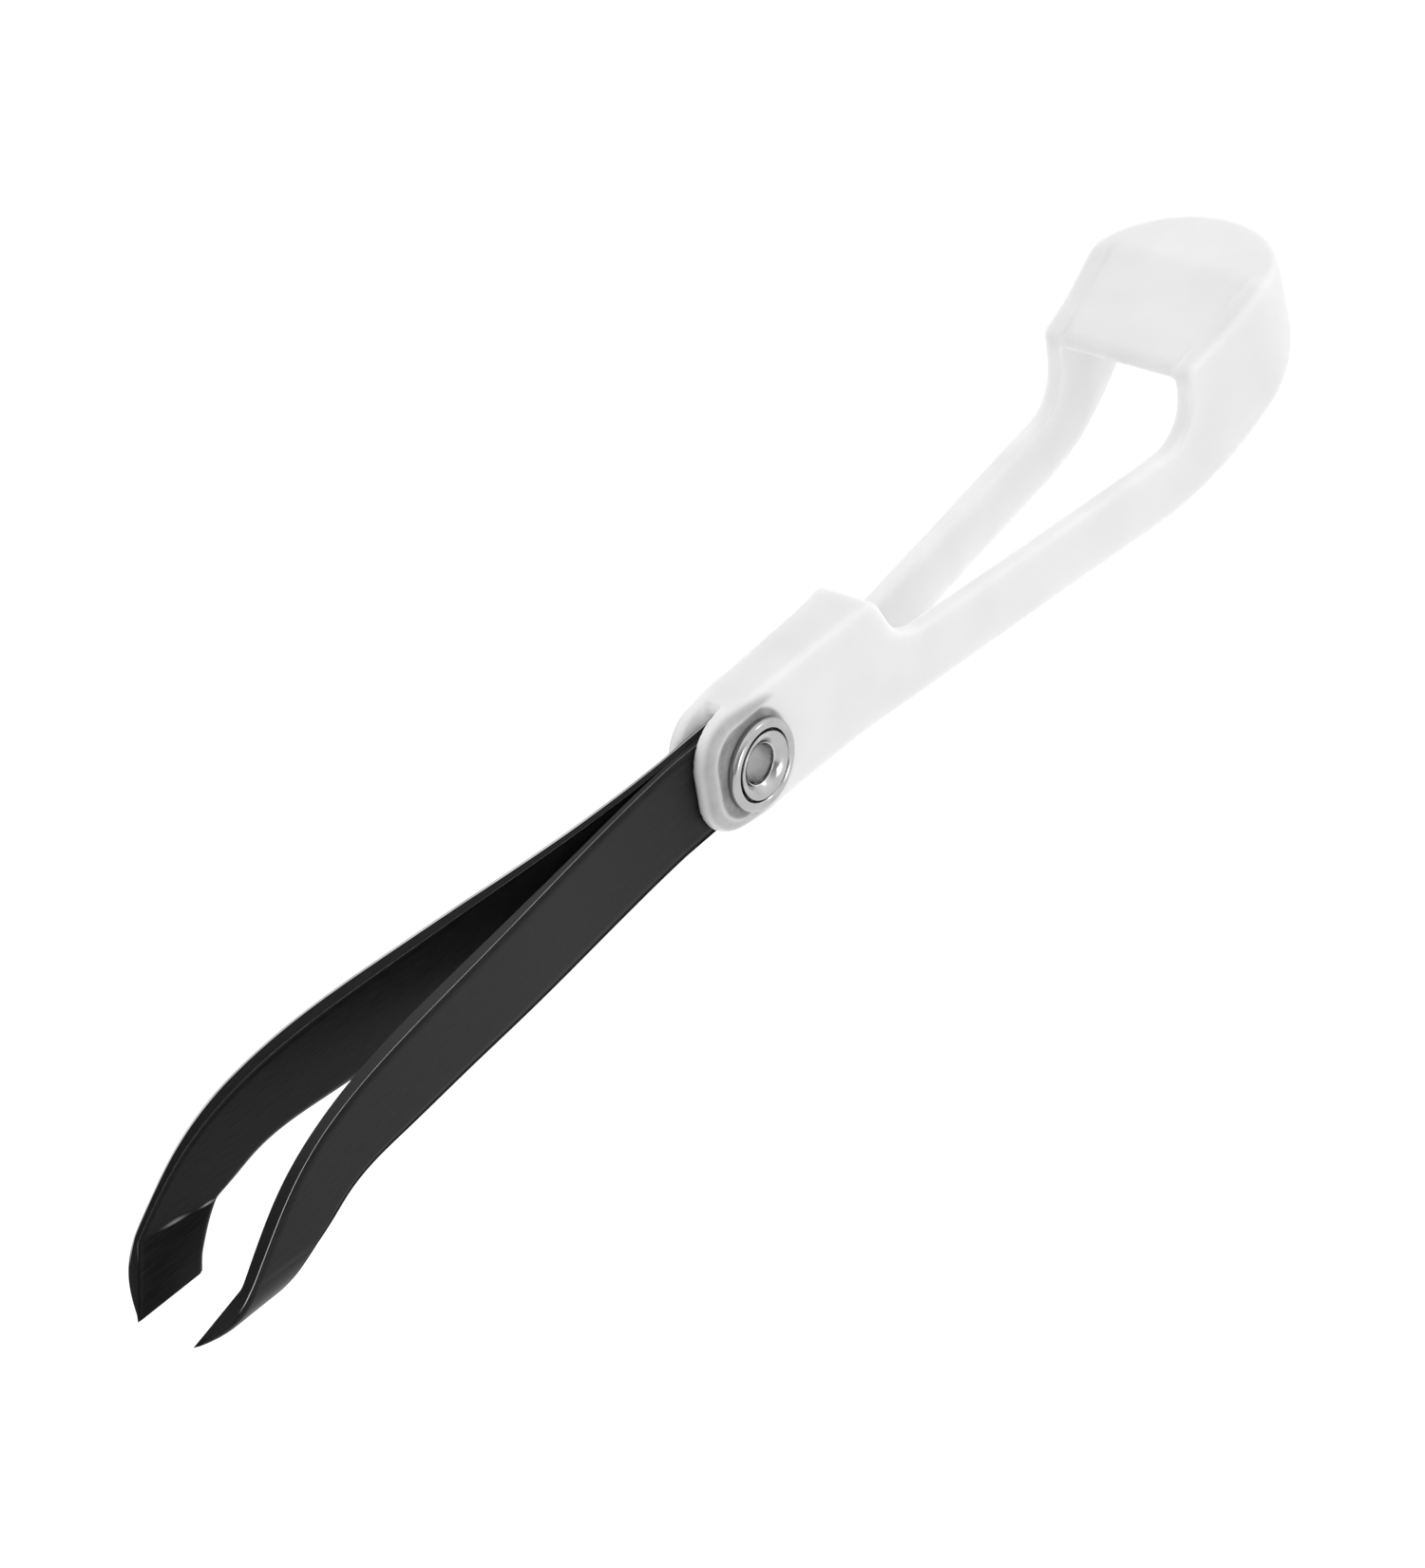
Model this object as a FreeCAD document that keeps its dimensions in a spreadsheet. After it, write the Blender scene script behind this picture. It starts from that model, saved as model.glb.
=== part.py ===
"""Pocket folding tweezers: two spring-steel strips riveted into a clevis of a one-piece case-handle.

The frame has its origin on the rivet's axis, midway between the ears. +X runs along the case to
its head, +Y to the far ear and +Z up. The tweezers are modelled open, with their tips at -X, and
they fold by half a turn about the rivet, through the open underside of the case. Millimetres.
"""
import FreeCAD, Part
import math
import os

import Sketcher

DRIVING = {
    # rivet: a tubular eyelet set over a domed washer
    "BoreRadius": 1.15,
    "BarrelRadius": 1.45,
    "RunningGap": 0.05,
    "FlangeRadius": 2.6,
    "FlangeHeight": 0.55,
    "FlangeFloor": 0.22,
    "LipRadius": 1.92,
    # clevis and body of the case
    "EarFace": 1.5,
    "SlotHalf": 0.56,
    "SlotSpreadReach": 5.0,
    "BodyTop": 4.0,
    "BodyBottom": -3.35,
    "NoseReach": -4.08,
    "NoseBottom": -3.42,
    "BellyReach": 12,
    "BellyBottom": -3.46,
    "NoseTopRadius": 2.7,
    "NoseBottomRadius": 3.0,
    "BodyTopEnd": 10.6,
    "BodyTopRadius": 1,
    "StepAngle": 66,
    "StepRadius": 1.6,
    "RoofStart": -1,
    "RoofUnderside": 3.15,
    "EdgeRadius": 0.4,
    # rails
    "RailTop": 0.5,
    "RailThickness": 1,
    "FlareAngle": 7.07,
    "WaistReach": 8.69,
    "WaistHalf": 1.7,
    "WaistRadius": 30,
    # head, a hood that is open below and at the front
    "HeadCentre": 42.1,
    "HeadRadius": 5.8,
    "HeadTop": 7,
    "HeadDraft": 0.114,
    "HeadFront": 35.86,
    "PostRadius": 2.4,
    "RimFront": 4.93,
    "RimBendReach": 38.8,
    "RimBendHeight": 5.6,
    "RimEnd": 42.4,
    "UnderCurveReach": 38.5,
    "UnderCurveRadius": 20.2,
    "UnderCurveAngle": 34.7,
    "DishFront": 4.64,
    "DishEnd": 42.9,
    "DishHalfFront": 3.87,
    "DishHalfEnd": 4.75,
    "HeadRoof": 0.62,
    "CavityCentre": 42.4,
    "CavityRadius": 4.75,
    # spring strips
    "StripInside": 0.01,
    "StripOutside": 0.49,
    "RootRadius": 2.95,
    "RootEnd": -5.5,
    "SplitGap": 0.02,
    "TipReach": -46.35,
    "TipEdge": -4.85,
    "TipGap": 1.84,
    "TipThickness": 0.16,
    "HeelReach": -41.5,
    "HeelEdge": -5.2,
    "HeelGap": 1.9,
    "HeelThickness": 0.5,
    "CreaseFrontInner": 3.5,
    "CreaseFrontOuter": 4.02,
    "CreaseRearInner": 3.1,
    "CreaseRearOuter": 3.78,
    "CreaseFrontReach": -43.9,
    "CreaseFrontHeight": -2.2,
    "CreaseRearReach": -39.3,
    "CreaseRearHeight": -3.1,
}

# far strip seen from above: distance from the middle plane to its inner and outer faces
STRIP_PLAN = [
    # reach, inner face, outer face
    (-5.5, 0.02, 0.49),
    (-7.0, 0.09, 0.56),
    (-9.0, 0.21, 0.69),
    (-13.0, 0.55, 1.05),
    (-20.0, 1.21, 1.90),
    (-25.6, 1.72, 2.55),
    (-31.1, 2.25, 3.12),
    (-36.0, 2.75, 3.53),
    (-39.8, 3.12, 3.84),
    (-43.2, 3.43, 4.02),
    (-45.5, 3.58, 4.10),
]
# strip seen from the side: upper edge, then lower edge
STRIP_UPPER = [(-5.5, 2.9), (-13.0, 2.85), (-20.0, 2.95), (-25.6, 3.03), (-31.1, 2.98), (-36.0, 2.35), (-39.8, 0.98)]
STRIP_LOWER = [(-36.0, -2.15), (-31.1, -1.85), (-25.6, -2.11), (-20.0, -2.5), (-13.0, -2.85), (-5.5, -2.9)]


def make_sheet(doc):
    """Puts the driving dimensions in a spreadsheet whose cells the sub-parts are bound to."""
    sheet = doc.addObject("Spreadsheet::Sheet", "Sizes")
    for row, (alias, value) in enumerate(DRIVING.items(), start=1):
        sheet.set(f"A{row}", alias)
        sheet.set(f"B{row}", str(value))
        sheet.setAlias(f"B{row}", alias)
    doc.recompute()
    return sheet


def cell(alias):
    return f"Sizes.{alias}"


def bind(item, **expressions):
    """Binds properties of a document object to expressions on the sheet."""
    for name, text in expressions.items():
        item.setExpression(name, text)


def place(item, offset=(0, 0, 0), axis=(0, 0, 1), degrees=0):
    turn = FreeCAD.Rotation(FreeCAD.Vector(*axis), degrees)
    item.Placement = FreeCAD.Placement(FreeCAD.Vector(*offset), turn)


# ---------------------------------------------------------------- sketches

def make_body(doc, label):
    body = doc.addObject("PartDesign::Body", label)
    body.Label = label
    return body


def sketch_on(body, role, name, height="0"):
    """A sketch on one of the body's own origin planes, moved along the plane's normal."""
    sketch = body.newObject("Sketcher::SketchObject", name)
    plane = next(item for item in body.Origin.OriginFeatures if item.Role == role)
    sketch.AttachmentSupport = [(plane, "")]
    sketch.MapMode = "FlatFace"
    sketch.setExpression("AttachmentOffset.Base.z", height)
    return sketch


def number(item, text):
    value = item.evalExpression(str(text))
    return float(getattr(value, "Value", value))


def corner_of(item, corner):
    return FreeCAD.Vector(number(item, corner[0]), number(item, corner[1]), 0)


def arc_between(start, end, radius):
    """The short arc from start to end; a positive radius puts its centre on the left."""
    middle = (start + end) * 0.5
    chord = end - start
    left = FreeCAD.Vector(-chord.y, chord.x, 0)
    left.normalize()
    rise = math.sqrt(radius * radius - (chord.Length / 2) ** 2)
    centre = middle + left * math.copysign(rise, radius)
    bulge = middle - centre
    bulge.normalize()
    return Part.Arc(start, centre + bulge * abs(radius), end)


def round_corner(before, corner, after, radius):
    """The two points where an arc of the radius touches the lines that meet at the corner."""
    back = before - corner
    ahead = after - corner
    back.normalize()
    ahead.normalize()
    reach = radius / math.tan(back.getAngle(ahead) / 2)
    turns_left = back.cross(ahead).z < 0
    return corner + back * reach, corner + ahead * reach, radius if turns_left else -radius


def soften(sketch, pieces):
    """Replaces each corner that has a rounding radius by the two ends of its arc.

    Each new corner keeps the old one's expressions, with its distance from it added.
    """
    points = [corner_of(sketch, piece[0]) for piece in pieces]
    result = []
    for index, piece in enumerate(pieces):
        corner, kind, detail = piece[:3]
        rounding = piece[3] if len(piece) > 3 else None
        if rounding is None:
            result.append((corner, kind, detail))
            continue
        point = points[index]
        first, second, bend = round_corner(points[index - 1], point,
                                           points[(index + 1) % len(points)],
                                           number(sketch, rounding))
        result.append((shifted(corner, first - point), "arc", bend))
        result.append((shifted(corner, second - point), kind, detail))
    return result


def shifted(corner, move):
    return (f"{corner[0]} + {move.x:.6f}", f"{corner[1]} + {move.y:.6f}")


def draw_outline(sketch, pieces):
    """Draws a closed outline and locks its corners to the sheet.

    pieces is a list of (corner, kind, detail) or (corner, kind, detail, rounding radius). kind
    says how the outline goes on from that corner to the next: "line", "arc" with a signed
    radius, or "spline" with a list of points between.
    """
    pieces = soften(sketch, pieces)
    corners = [corner_of(sketch, piece[0]) for piece in pieces]
    edges = []
    for index, (corner, kind, detail) in enumerate(pieces):
        start = corners[index]
        end = corners[(index + 1) % len(pieces)]
        if kind == "line":
            edges.append(sketch.addGeometry(Part.LineSegment(start, end)))
        elif kind == "arc":
            edges.append(sketch.addGeometry(arc_between(start, end, number(sketch, detail))))
        else:
            curve = Part.BSplineCurve()
            between = [FreeCAD.Vector(x, y, 0) for x, y in detail]
            curve.interpolate([start] + between + [end])
            edges.append(sketch.addGeometry(curve))
    for index, (corner, kind, detail) in enumerate(pieces):
        lock_corner(sketch, edges[index], starts_at(sketch, edges[index], corners[index]), corner)


def starts_at(sketch, edge, point):
    """Which end of a sketch edge, 1 or 2, lies on the point."""
    first = sketch.getPoint(edge, 1)
    return 1 if (first - point).Length < 1e-6 else 2


def lock_corner(sketch, edge, end, corner):
    for kind, text in zip(("DistanceX", "DistanceY"), corner):
        value = number(sketch, text)
        index = sketch.addConstraint(Sketcher.Constraint(kind, -1, 1, edge, end, value))
        sketch.setExpression(f"Constraints[{index}]", str(text))


def pad_both_ways(body, sketch, name, length):
    pad = body.newObject("PartDesign::Pad", name)
    pad.Profile = sketch
    pad.SideType = "Symmetric"
    bind(pad, Length=str(length))
    return pad


def padded_outline(doc, label, role, pieces, length, height="0"):
    body = make_body(doc, label)
    sketch = sketch_on(body, role, f"{label}_outline", height)
    draw_outline(sketch, pieces)
    pad_both_ways(body, sketch, f"{label}_pad", length)
    return body


def mirrored_outline(half, apex=None):
    """Closes a half outline on the +Y side over the X axis.

    half is a list of pieces running towards +X. With an apex, an expression for a point on the X
    axis, the last piece runs to it and its mirror image runs on from it.
    """
    upper = [((piece[0], piece[1]),) + tuple(piece[2:]) for piece in half]
    lower = []
    for index in range(len(half) - 1, -1, -1):
        x, y = half[index][:2]
        rounding = half[index][4:]
        onward = half[index - 1][2:4] if index else ("line", None)
        lower.append(((x, f"-({y})"),) + tuple(onward) + tuple(rounding))
    if apex is None:
        return upper + lower
    return upper + [((apex, "0"),) + tuple(half[-1][2:4])] + lower


# ---------------------------------------------------------------- case

def rail_half(reach):
    """Half width over the rails at a reach along X, as an expression."""
    flare = f"{cell('FlareAngle')} * 1 deg"
    return (f"({cell('HeadRadius')} / cos({flare})"
            f" + ({reach} - {cell('HeadCentre')}) * tan({flare}))")


def case_plan(height, inset="0"):
    """Outline of the case from above at a height, where the round end leans out as it goes down."""
    flare = f"{cell('FlareAngle')} * 1 deg"
    lean = f"(({cell('HeadTop')} - {height}) * {cell('HeadDraft')})"
    centre = f"({cell('HeadCentre')} + {lean})"
    radius = f"({cell('HeadRadius')} + {lean} * sin({flare}))"
    return mirrored_outline([
        ("-6", cell("EarFace"), "line", None),
        ("3.1", cell("EarFace"), "line", None, cell("WaistRadius")),
        (cell("WaistReach"), cell("WaistHalf"), "line", None, cell("WaistRadius")),
        (f"{centre} - {radius} * sin({flare})", f"{radius} * cos({flare})", "arc", f"-{radius}"),
    ], apex=f"{centre} + {radius}")


def case_plan_solid(doc):
    """The case as seen from above: a ruled loft, so that the head's end wall can lean."""
    body = make_body(doc, "case_plan")
    low = sketch_on(body, "XY_Plane", "case_plan_low", "-4")
    draw_outline(low, case_plan("-4"))
    high = sketch_on(body, "XY_Plane", "case_plan_high", "7.5")
    draw_outline(high, case_plan("7.5"))
    loft = body.newObject("PartDesign::AdditiveLoft", "case_plan_loft")
    loft.Profile = low
    loft.Sections = [high]
    loft.Ruled = True
    return body


def case_side():
    """Outline of the case from the side, clockwise from the top of the nose."""
    top, bottom, nose = cell("BodyTop"), cell("BodyBottom"), cell("NoseReach")
    step = f"({top} - {cell('RailTop')}) / tan({cell('StepAngle')} * 1 deg)"
    post = f"{cell('HeadFront')} - 0.06"
    end = "49.6"
    end_rise = f"({end} - {cell('UnderCurveReach')}) * tan({cell('UnderCurveAngle')} * 1 deg)"
    return [
        ((nose, top), "line", None, cell("NoseTopRadius")),
        ((cell("BodyTopEnd"), top), "line", None, cell("BodyTopRadius")),
        ((f"{cell('BodyTopEnd')} + {step}", cell("RailTop")), "line", None, cell("StepRadius")),
        ((post, cell("RailTop")), "line", None, cell("PostRadius")),
        ((f"{post} + 0.1", cell("RimFront")), "line", None, "0.6"),
        ((cell("RimBendReach"), cell("RimBendHeight")), "line", None, "6"),
        ((cell("RimEnd"), cell("HeadTop")), "line", None, "2.5"),
        ((end, cell("HeadTop")), "line", None),
        ((end, f"{bottom} + {end_rise}"), "line", None),
        ((cell("UnderCurveReach"), bottom), "line", None, cell("UnderCurveRadius")),
        ((f"2 * {cell('BellyReach')}", bottom), "line", None, "60"),
        ((cell("BellyReach"), cell("BellyBottom")), "line", None, "60"),
        ((nose, cell("NoseBottom")), "line", None, cell("NoseBottomRadius")),
    ]


def inside_plan():
    """Outline of the hollow between the ears, between the rails and inside the round head."""
    flare = f"{cell('FlareAngle')} * 1 deg"
    centre, radius = cell("CavityCentre"), cell("CavityRadius")
    thick = cell("RailThickness")
    start, end = "13", "31"
    return mirrored_outline([
        ("-8", cell("SlotHalf"), "line", None),
        (cell("SlotSpreadReach"), cell("SlotHalf"), "line", None, "12"),
        (start, f"{rail_half(start)} - {thick}", "line", None, "60"),
        (end, f"{rail_half(end)} - {thick}", "line", None, "60"),
        (f"{cell('HeadFront')} + 0.5", f"{cell('DishHalfFront')} + 0.05", "line", None, "30"),
        (f"{centre} - {radius} * sin({flare})", f"{radius} * cos({flare})", "arc", f"-{radius}"),
    ], apex=f"{centre} + {radius}")


def dish_floor(reach, drop="0"):
    """Height of the dish's sloping floor at a reach, less a drop."""
    rise = f"(({cell('HeadTop')} - {cell('DishFront')}) / ({cell('DishEnd')} - {cell('HeadFront')}))"
    return f"{cell('DishFront')} + ({reach} - {cell('HeadFront')}) * {rise} - {drop}"


def inside_side():
    """Outline of the hollow from the side: open below, roofed over the pivot and in the head."""
    roof = cell("HeadRoof")
    roof_start, under, flat = cell("RoofStart"), cell("RoofUnderside"), f"{cell('HeadTop')} - {roof}"
    front = cell("HeadFront")
    return [
        (("-8", "9"), "line", None),
        ((roof_start, "9"), "line", None),
        ((roof_start, under), "line", None),
        ((f"{front} - 1", under), "line", None),
        ((front, dish_floor(front, roof)), "line", None),
        ((cell("DishEnd"), flat), "line", None),
        (("50", flat), "line", None),
        (("50", "-8"), "line", None),
        (("-8", "-8"), "line", None),
    ]


def dish_plan():
    return mirrored_outline([
        ("34.5", f"{cell('DishHalfFront')} - 0.12", "line", None),
        (cell("DishEnd"), cell("DishHalfEnd"), "line", None),
    ])


def dish_side():
    front = "34.5"
    return [
        ((front, dish_floor(front)), "line", None),
        ((cell("DishEnd"), cell("HeadTop")), "line", None),
        ((f"{cell('DishEnd')} + 0.4", "9"), "line", None),
        ((front, "9"), "line", None),
    ]


def common(doc, label, *items):
    result = doc.addObject("Part::MultiCommon", label)
    result.Shapes = list(items)
    return result


def fuse(doc, label, *items):
    result = doc.addObject("Part::MultiFuse", label)
    result.Shapes = list(items)
    return result


def cut(doc, label, base, tool):
    result = doc.addObject("Part::Cut", label)
    result.Base = base
    result.Tool = tool
    return result


def round_edges(doc, label, base, radius, wanted):
    """A fillet on every edge of the base that the wanted function picks."""
    doc.recompute()
    fillet = doc.addObject("Part::Fillet", label)
    fillet.Base = base
    picked = [index for index, edge in enumerate(base.Shape.Edges, start=1) if wanted(edge)]
    fillet.Edges = [(index, radius, radius) for index in picked]
    return fillet


def is_rim(edge):
    """Edges where the case's side walls meet its top and bottom: not seams across or upright."""
    box = edge.BoundBox
    across = box.XLength < 0.01 and box.ZLength < 0.01
    behind_nose = 0 < box.XMin < 34 or box.XMin > 40
    upright = box.YLength < 0.2 and box.XLength < 0.6 and box.ZLength > 1
    return not across and not (behind_nose and upright)


def rod_across(doc, label, radius, length="12"):
    """A cylinder on the rivet's axis."""
    rod = doc.addObject("Part::Cylinder", label)
    bind(rod, Radius=radius, Height=length)
    place(rod, offset=(0, 6, 0), axis=(1, 0, 0), degrees=90)
    return rod


def make_case(doc):
    plan = case_plan_solid(doc)
    side = padded_outline(doc, "case_side", "XZ_Plane", case_side(), 20)
    outside = common(doc, "case_outside", plan, side)
    rounded = round_edges(doc, "case_rounded", outside, DRIVING["EdgeRadius"], is_rim)
    inside = common(doc, "case_inside",
                    padded_outline(doc, "inside_plan", "XY_Plane", inside_plan(), 30),
                    padded_outline(doc, "inside_side", "XZ_Plane", inside_side(), 20))
    dish = common(doc, "head_dish",
                  padded_outline(doc, "dish_plan", "XY_Plane", dish_plan(), 30),
                  padded_outline(doc, "dish_side", "XZ_Plane", dish_side(), 20))
    bore = rod_across(doc, "ear_bore", f"{cell('BarrelRadius')} + 0.02")
    hollows = fuse(doc, "case_hollows", inside, dish, bore)
    return cut(doc, "handle_case", rounded, hollows)


# ---------------------------------------------------------------- rivet

def revolved(doc, label, pieces):
    """A turned piece on the rivet's axis; the outline gives radius, then distance along +Y."""
    body = make_body(doc, label)
    sketch = sketch_on(body, "XY_Plane", f"{label}_outline")
    draw_outline(sketch, pieces)
    turn = body.newObject("PartDesign::Revolution", f"{label}_turn")
    turn.Profile = sketch
    turn.ReferenceAxis = (sketch, ["V_Axis"])
    turn.Angle = 360
    return body


def make_eyelet(doc):
    """Tubular rivet: a domed head outside the far ear, and an end flared over the near washer."""
    bore, barrel, lip = cell("BoreRadius"), cell("BarrelRadius"), cell("LipRadius")
    seat = f"({cell('EarFace')} + 0.005)"
    head_top = f"({seat} + {cell('FlangeHeight')})"
    washer_floor = f"({seat} + {cell('FlangeFloor')} + 0.005)"
    lip_top = f"({seat} + {cell('FlangeHeight')} - 0.03)"
    return revolved(doc, "rivet_eyelet", [
        ((bore, f"-({washer_floor})"), "line", None),
        ((bore, f"{head_top} - 0.35"), "arc", "-0.35"),
        ((f"{bore} + 0.35", head_top), "line", None),
        ((f"{cell('FlangeRadius')} - 0.3", head_top), "arc", "-0.32"),
        ((cell("FlangeRadius"), f"{seat} + 0.18"), "line", None),
        ((f"{cell('FlangeRadius')} - 0.1", seat), "line", None),
        ((barrel, seat), "line", None),
        ((barrel, f"-({washer_floor})"), "line", None),
        ((f"{lip} - 0.05", f"-({washer_floor})"), "line", None),
        ((lip, f"-({lip_top} - 0.08)"), "line", None),
        ((f"{lip} - 0.08", f"-({lip_top})"), "arc", "0.9"),
    ])


def make_washer(doc):
    """Domed washer under the flared end, with a raised round rim."""
    hole = f"({cell('BarrelRadius')} + 0.03)"
    seat = f"({cell('EarFace')} + 0.005)"
    floor = f"({seat} + {cell('FlangeFloor')})"
    top = f"({seat} + {cell('FlangeHeight')})"
    return revolved(doc, "rivet_washer", [
        ((hole, f"-{seat}"), "line", None),
        ((f"{cell('FlangeRadius')} - 0.1", f"-{seat}"), "line", None),
        ((cell("FlangeRadius"), f"-({seat} + 0.18)"), "arc", "-0.32"),
        ((f"{cell('FlangeRadius')} - 0.3", f"-{top}"), "arc", "-0.3"),
        ((f"{cell('LipRadius')} + 0.04", f"-({floor} + 0.1)"), "line", None),
        ((f"{cell('LipRadius')} + 0.02", f"-{floor}"), "line", None),
        ((hole, f"-{floor}"), "line", None),
    ])


# ---------------------------------------------------------------- strips

def make_strip_root(doc):
    """The part of a strip that lies between the ears, with its rounded end and rivet hole."""
    radius, end = cell("RootRadius"), f"({cell('RootEnd')} + {cell('SplitGap')})"
    thickness = f"({cell('StripOutside')} - {cell('StripInside')})"
    body = make_body(doc, "strip_root")
    sketch = sketch_on(body, "XZ_Plane", "strip_root_outline",
                       f"-({cell('StripInside')} + {thickness} / 2)")
    draw_outline(sketch, [
        (("0", radius), "arc", f"-{radius} * 1.0001"),
        (("0", f"-{radius}"), "line", None),
        ((end, "-2.9"), "line", None),
        ((end, "2.9"), "line", None),
    ])
    pad_both_ways(body, sketch, "strip_root_pad", thickness)
    hole = rod_across(doc, "strip_hole", f"{cell('BarrelRadius')} + {cell('RunningGap')}")
    return cut(doc, "far_strip_root", body, hole)


def strip_plan():
    """The far strip from above, inner face out and outer face back."""
    inner = [(x, inside) for x, inside, outside in STRIP_PLAN]
    outer = [(x, outside) for x, inside, outside in reversed(STRIP_PLAN)]
    return [
        (inner[0], "spline", inner[1:-1]),
        (inner[-1], "line", None),
        (outer[0], "spline", outer[1:-1]),
        (outer[-1], "line", None),
    ]


def strip_side():
    """The strip's blade from the side, down to the crease where its tip turns inward."""
    front = (cell("CreaseFrontReach"), cell("CreaseFrontHeight"))
    rear = (cell("CreaseRearReach"), cell("CreaseRearHeight"))
    return [
        (STRIP_UPPER[0], "spline", STRIP_UPPER[1:]),
        (front, "line", None),
        (rear, "spline", STRIP_LOWER[:-1]),
        (STRIP_LOWER[-1], "line", None),
    ]


def ruled_block(doc, label, upper, lower):
    """A solid between two four-cornered sections, each given as points in order."""
    vectors = [[FreeCAD.Vector(*point) for point in section] for section in (upper, lower)]
    wires = [Part.makePolygon(section + [section[0]]) for section in vectors]
    block = doc.addObject("Part::Feature", label)
    block.Shape = Part.makeLoft(wires, True, True)
    place(block)
    return block


def tip_section(front, rear, front_faces, rear_faces):
    """Four corners of a cut through the tip: front and rear (reach, height), inner and outer face."""
    return [
        (front[0], front_faces[0], front[1]),
        (front[0], front_faces[1], front[1]),
        (rear[0], rear_faces[1], rear[1]),
        (rear[0], rear_faces[0], rear[1]),
    ]


def make_tip(doc, sheet):
    """The tip plate: it leans inward below the crease and thins to the gripping edge."""
    overlap = 0.02
    crease = tip_section(
        (sheet.CreaseFrontReach, sheet.CreaseFrontHeight + overlap),
        (sheet.CreaseRearReach, sheet.CreaseRearHeight + overlap),
        (sheet.CreaseFrontInner, sheet.CreaseFrontOuter),
        (sheet.CreaseRearInner, sheet.CreaseRearOuter))
    edge = tip_section(
        (sheet.TipReach, sheet.TipEdge),
        (sheet.HeelReach, sheet.HeelEdge),
        (sheet.TipGap, sheet.TipGap + sheet.TipThickness),
        (sheet.HeelGap, sheet.HeelGap + sheet.HeelThickness))
    return ruled_block(doc, "strip_tip", crease, edge)


def make_far_arm(doc, sheet):
    blade = common(doc, "strip_blade",
                   padded_outline(doc, "strip_plan", "XY_Plane", strip_plan(), 30),
                   padded_outline(doc, "strip_side", "XZ_Plane", strip_side(), 30))
    return fuse(doc, "far_arm", blade, make_tip(doc, sheet))


def mirrored(doc, label, base):
    """The same piece on the near side of the middle plane."""
    twin = doc.addObject("Part::Mirroring", label)
    twin.Source = base
    twin.Base = FreeCAD.Vector(0, 0, 0)
    twin.Normal = FreeCAD.Vector(0, 1, 0)
    return twin


# ---------------------------------------------------------------- document

def check(doc, pieces):
    for item in doc.Objects:
        if {"Invalid", "Error"} & set(item.State):
            raise RuntimeError(f"{item.Label} failed: {item.State}")
    for label, item in pieces.items():
        shape = item.Shape
        if shape.isNull() or not shape.isValid() or len(shape.Solids) != 1:
            raise RuntimeError(f"{label} is not one valid solid")
        print(f"{label}: {shape.Volume:.2f} mm3, {len(shape.Faces)} faces")


def main():
    doc = FreeCAD.newDocument("folding_tweezers")
    sheet = make_sheet(doc)
    far_root = make_strip_root(doc)
    far_arm = make_far_arm(doc, sheet)
    pieces = {
        "handle_case": make_case(doc),
        "rivet_eyelet": make_eyelet(doc),
        "rivet_washer": make_washer(doc),
        "far_strip_root": far_root,
        "near_strip_root": mirrored(doc, "near_strip_root", far_root),
        "far_arm": far_arm,
        "near_arm": mirrored(doc, "near_arm", far_arm),
    }
    doc.recompute()
    check(doc, pieces)
    os.makedirs("parts", exist_ok=True)
    for label, item in pieces.items():
        item.Label = label
        item.Shape.exportStep(f"parts/{label}.step")


main()
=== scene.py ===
"""Looks of a folding tweezer: a white frosted case, two black spring strips and a nickel rivet."""
import math

import bmesh
import bpy
import numpy as np
from mathutils import Matrix, Vector


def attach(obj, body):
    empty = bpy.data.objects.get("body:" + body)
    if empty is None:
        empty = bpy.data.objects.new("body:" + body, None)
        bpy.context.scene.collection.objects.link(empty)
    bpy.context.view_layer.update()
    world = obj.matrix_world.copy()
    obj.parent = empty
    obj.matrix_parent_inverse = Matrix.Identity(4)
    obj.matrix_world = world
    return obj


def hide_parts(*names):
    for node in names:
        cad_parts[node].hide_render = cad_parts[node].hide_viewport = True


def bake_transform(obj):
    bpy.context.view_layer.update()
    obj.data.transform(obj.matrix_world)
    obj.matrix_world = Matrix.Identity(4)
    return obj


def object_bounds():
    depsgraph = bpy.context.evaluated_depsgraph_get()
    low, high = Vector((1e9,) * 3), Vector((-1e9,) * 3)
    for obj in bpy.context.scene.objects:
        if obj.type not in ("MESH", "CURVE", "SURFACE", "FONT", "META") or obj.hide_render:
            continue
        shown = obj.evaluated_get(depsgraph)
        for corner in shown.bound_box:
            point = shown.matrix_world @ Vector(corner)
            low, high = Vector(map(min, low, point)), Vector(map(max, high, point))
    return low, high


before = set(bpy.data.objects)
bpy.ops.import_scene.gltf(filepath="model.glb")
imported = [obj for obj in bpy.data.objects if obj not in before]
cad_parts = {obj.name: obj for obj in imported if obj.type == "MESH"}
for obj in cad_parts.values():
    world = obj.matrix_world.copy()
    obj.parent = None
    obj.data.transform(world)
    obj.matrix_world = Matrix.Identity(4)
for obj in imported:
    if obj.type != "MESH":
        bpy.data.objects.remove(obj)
cad_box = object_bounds()

# Shapes are worked out in millimetres: x runs from the tips past the rivet to the case's head, y runs
# across to the far side and z runs up. The rivet's axis is the y axis. Meshes are made in metres.
MM = 0.001

# ---------------------------------------------------------------- camera

CAMERA_PLACE = (-0.17988, -0.16881, 0.17073)
CAMERA_RIGHT = (0.6112, -0.7800, -0.1345)
CAMERA_UP = (0.5225, 0.2700, 0.8087)
CAMERA_BACK = (-0.5945, -0.5646, 0.5726)
CAMERA_LENS = 130.9
SENSOR_WIDTH = 36
CLIP_START = 0.01


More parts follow.
